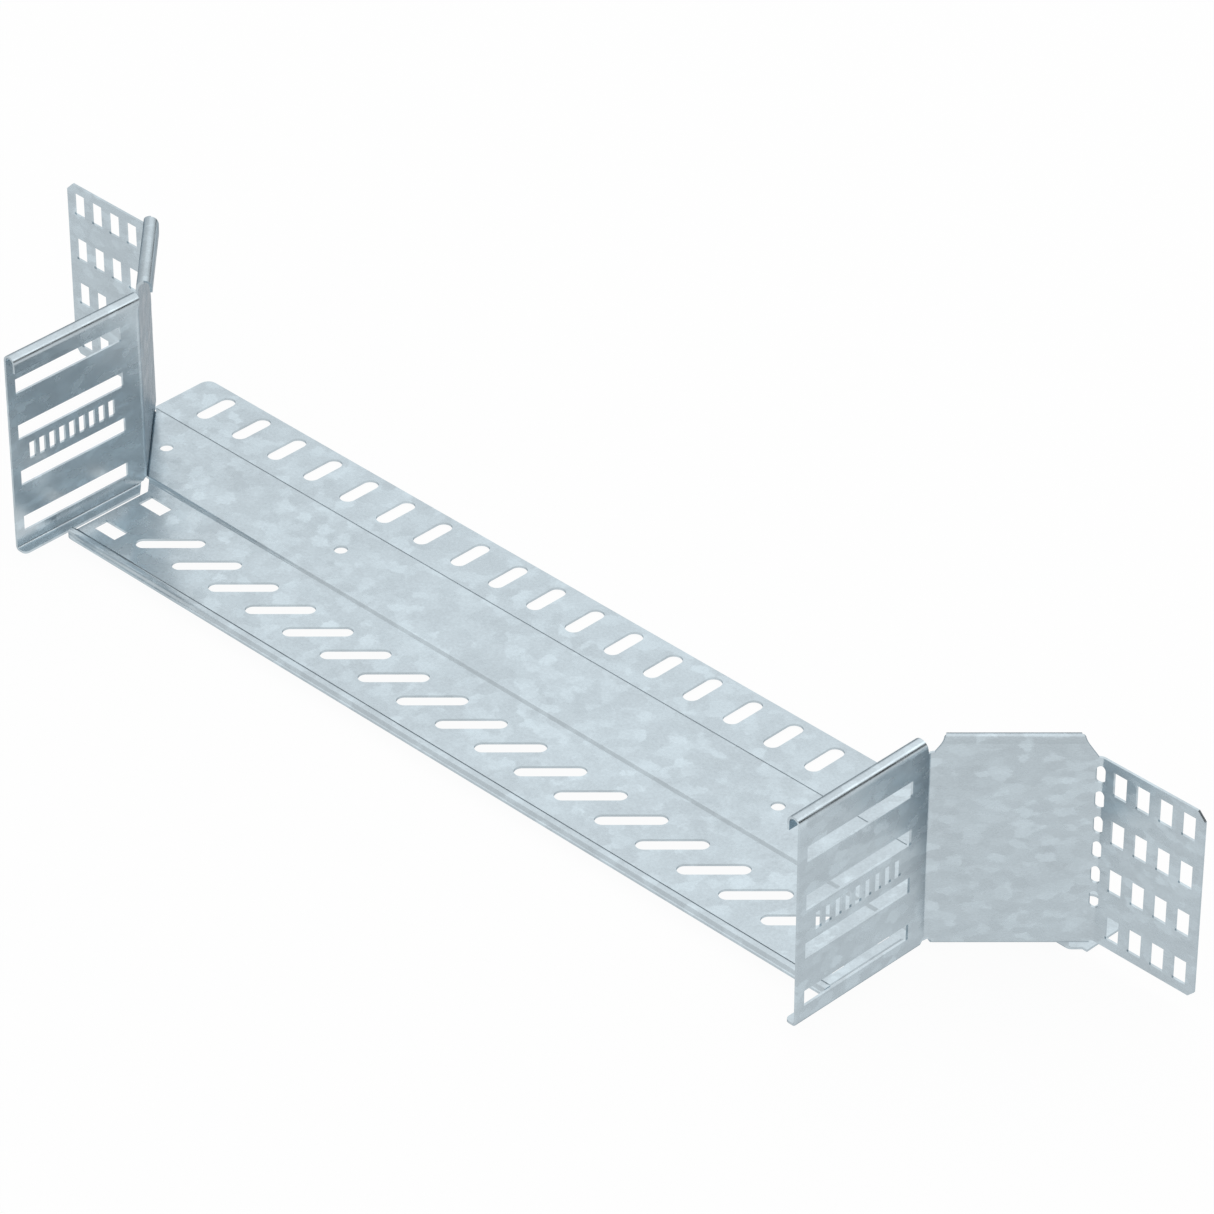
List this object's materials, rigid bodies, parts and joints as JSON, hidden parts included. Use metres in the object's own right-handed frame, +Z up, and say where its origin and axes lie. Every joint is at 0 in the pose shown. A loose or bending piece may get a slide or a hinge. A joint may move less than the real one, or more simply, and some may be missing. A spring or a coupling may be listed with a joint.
{
  "type": "cable tray branch tee",
  "caption": "Add-on branch tee for perforated cable tray: a stepped, slotted floor plate and mirrored corner brackets with rolled hems that turn the walls out to the main tray.",
  "frame": {"origin": "middle of the footprint at the underside of the back strip, which is the lowest face", "axes": "+X along the main tray, +Y from the branch to the main tray, +Z up out of the tray"},
  "size_m": [0.7082, 0.163, 0.1119],
  "materials": {
    "galvanised_sheet": "galvanised, satin, with a fine zinc spangle"
  },
  "bodies": {
    "root": {"floor_plate": "galvanised_sheet", "left_corner_bracket": "galvanised_sheet", "right_corner_bracket": "galvanised_sheet"}
  },
  "joints": []
}
